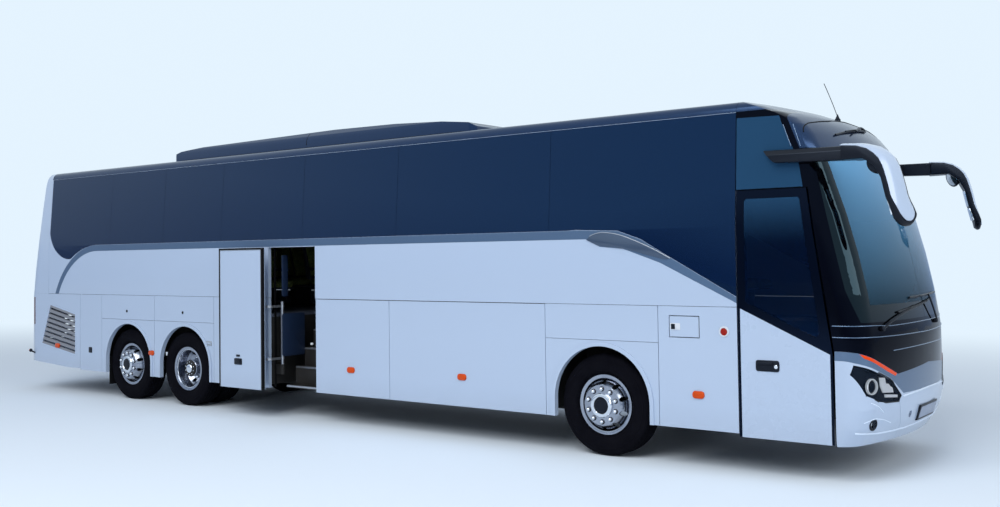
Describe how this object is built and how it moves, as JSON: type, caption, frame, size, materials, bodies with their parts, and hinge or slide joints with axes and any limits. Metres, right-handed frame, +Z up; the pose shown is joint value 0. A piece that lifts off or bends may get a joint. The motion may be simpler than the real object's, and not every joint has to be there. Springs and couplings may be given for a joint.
{
  "type": "coach bus",
  "caption": "Three-axle touring coach with hollow glazed body, wrap-round windscreen, opening doors, luggage flaps, engine lid, roof hatches and steered front wheels.",
  "frame": {"origin": "on the ground, under the middle of the coach's bounding box", "axes": "+X forward, +Y the coach's left, +Z up"},
  "size_m": [14.2551, 2.915, 3.738],
  "materials": {
    "body_paint": "gloss",
    "black_paint": "gloss",
    "silver_paint": "gloss",
    "dark_glass": "gloss",
    "amber_lens": "gloss",
    "red_lens": "gloss",
    "clear_lens": "gloss",
    "polished_alloy": "polished",
    "tyre": "matte",
    "chassis": "satin",
    "floor_cover": "matte",
    "trim_plastic": "matte",
    "seat_fabric": "matte"
  },
  "bodies": {
    "coach": {"front_mask": "body_paint", "front_dome": "black_paint", "windscreen": "dark_glass", "silver_wing": "silver_paint", "front_indicators": "amber_lens", "headlamps": "clear_lens", "front_bumper": "body_paint", "driver_side_panel": "body_paint", "cab_panes": "dark_glass", "rear_cap": "body_paint", "tail_lamps": "red_lens", "rear_window": "dark_glass", "rear_bumper": "body_paint", "rear_quarter_panels": "body_paint", "side_grilles": "body_paint", "side_glass": "dark_glass", "belt_strips": "silver_paint", "side_walls": "body_paint", "roof_shell": "black_paint", "skirt_panels": "body_paint", "flap_hinges": "chassis", "floor_deck": "floor_cover", "door_steps": "floor_cover", "underfloor": "chassis", "body_frame": "chassis", "engine_block": "chassis", "axles": "chassis", "air_conditioner": "black_paint", "mirror_arms": "black_paint", "mirror_heads": "body_paint", "seats": "seat_fabric", "dashboard": "trim_plastic", "carrier_brackets": "chassis"},
    "knuckle_right": {"steering_knuckle_right": "chassis"},
    "knuckle_left": {"steering_knuckle_left": "chassis"},
    "front_wheel_right": {"front_rim_right": "polished_alloy", "front_tyre_right": "tyre"},
    "front_wheel_left": {"front_rim_left": "polished_alloy", "front_tyre_left": "tyre"},
    "drive_wheels_right": {"drive_rim_right": "polished_alloy", "drive_tyre_right": "tyre"},
    "drive_wheels_left": {"drive_rim_left": "polished_alloy", "drive_tyre_left": "tyre"},
    "tag_wheel_right": {"tag_rim_right": "polished_alloy", "tag_tyre_right": "tyre"},
    "tag_wheel_left": {"tag_rim_left": "polished_alloy", "tag_tyre_left": "tyre"},
    "front_door_arm": {"front_door_arms": "chassis"},
    "front_door": {"front_door_leaf": "body_paint", "front_door_glass": "dark_glass"},
    "mid_door_arm": {"mid_door_arms": "chassis"},
    "mid_door": {"mid_door_leaf": "body_paint"},
    "luggage_door_rear_right": {"luggage_flap_rear_right": "body_paint"},
    "luggage_door_front_right": {"luggage_flap_front_right": "body_paint"},
    "luggage_door_rear_left": {"luggage_flap_rear_left": "body_paint"},
    "luggage_door_front_left": {"luggage_flap_front_left": "body_paint"},
    "fuel_door": {"fuel_flap": "body_paint"},
    "engine_door": {"engine_lid": "body_paint"},
    "front_hatch": {"roof_hatch_front": "black_paint"},
    "rear_hatch": {"roof_hatch_rear": "black_paint"}
  },
  "joints": [
    {"name": "steer_right", "type": "hinge", "parent": "coach", "child": "knuckle_right", "pos_m": [4.01, -0.86, 0.522], "axis": [0, 0, 1], "range_deg": [-50, 50]},
    {"name": "steer_left", "type": "hinge", "parent": "coach", "child": "knuckle_left", "pos_m": [4.01, 0.86, 0.522], "axis": [0, 0, 1], "range_deg": [-50, 50]},
    {"name": "front_roll_right", "type": "hinge", "parent": "knuckle_right", "child": "front_wheel_right", "pos_m": [4.01, -1.046, 0.522], "axis": [0, 1, 0], "continuous": true},
    {"name": "front_roll_left", "type": "hinge", "parent": "knuckle_left", "child": "front_wheel_left", "pos_m": [4.01, 1.046, 0.522], "axis": [0, 1, 0], "continuous": true},
    {"name": "drive_roll_right", "type": "hinge", "parent": "coach", "child": "drive_wheels_right", "pos_m": [-2.89, -1.046, 0.522], "axis": [0, 1, 0], "continuous": true},
    {"name": "drive_roll_left", "type": "hinge", "parent": "coach", "child": "drive_wheels_left", "pos_m": [-2.89, 1.046, 0.522], "axis": [0, 1, 0], "continuous": true},
    {"name": "tag_roll_right", "type": "hinge", "parent": "coach", "child": "tag_wheel_right", "pos_m": [-4.24, -1.046, 0.522], "axis": [0, 1, 0], "continuous": true},
    {"name": "tag_roll_left", "type": "hinge", "parent": "coach", "child": "tag_wheel_left", "pos_m": [-4.24, 1.046, 0.522], "axis": [0, 1, 0], "continuous": true},
    {"name": "front_door_swing", "type": "hinge", "parent": "coach", "child": "front_door_arm", "pos_m": [6.26, -1.13, 1], "axis": [0, 0, 1], "range_deg": [0, 123.19]},
    {"name": "front_door_follow", "type": "hinge", "parent": "front_door_arm", "child": "front_door", "pos_m": [5.83456, -1.205, 1], "axis": [0, 0, 1], "range_deg": [-123.19, 0]},
    {"name": "mid_door_swing", "type": "hinge", "parent": "coach", "child": "mid_door_arm", "pos_m": [-0.94, -1.13, 1], "axis": [0, 0, 1], "range_deg": [0, 123.19]},
    {"name": "mid_door_follow", "type": "hinge", "parent": "mid_door_arm", "child": "mid_door", "pos_m": [-1.23563, -1.445, 1], "axis": [0, 0, 1], "range_deg": [-123.19, 0]},
    {"name": "luggage_door_rear_right_lift", "type": "hinge", "parent": "coach", "child": "luggage_door_rear_right", "pos_m": [0.4715, -1.272, 1.55], "axis": [-1, 0, 0], "range_deg": [0, 90]},
    {"name": "luggage_door_front_right_lift", "type": "hinge", "parent": "coach", "child": "luggage_door_front_right", "pos_m": [2.2255, -1.272, 1.55], "axis": [-1, 0, 0], "range_deg": [0, 90]},
    {"name": "luggage_door_rear_left_lift", "type": "hinge", "parent": "coach", "child": "luggage_door_rear_left", "pos_m": [0.0295, 1.272, 1.55], "axis": [1, 0, 0], "range_deg": [0, 90]},
    {"name": "luggage_door_front_left_lift", "type": "hinge", "parent": "coach", "child": "luggage_door_front_left", "pos_m": [2.2255, 1.272, 1.55], "axis": [1, 0, 0], "range_deg": [0, 90]},
    {"name": "fuel_door_swing", "type": "hinge", "parent": "coach", "child": "fuel_door", "pos_m": [5.134, -1.272, 1.354], "axis": [0, 0, 1], "range_deg": [0, 100]},
    {"name": "engine_door_lift", "type": "hinge", "parent": "coach", "child": "engine_door", "pos_m": [-7.057, 0, 1.497], "axis": [0, 1, 0], "range_deg": [0, 80]},
    {"name": "front_hatch_lift", "type": "hinge", "parent": "coach", "child": "front_hatch", "pos_m": [3.956, 0, 3.547], "axis": [0, -1, 0], "range_deg": [0, 50]},
    {"name": "rear_hatch_lift", "type": "hinge", "parent": "coach", "child": "rear_hatch", "pos_m": [-5.394, 0, 3.547], "axis": [0, -1, 0], "range_deg": [0, 50]}
  ],
  "couplings": [
    {"joint": "steer_right", "follows": "steer_left", "ratio": 1},
    {"joint": "front_door_follow", "follows": "front_door_swing", "ratio": -1},
    {"joint": "mid_door_follow", "follows": "mid_door_swing", "ratio": -1}
  ]
}
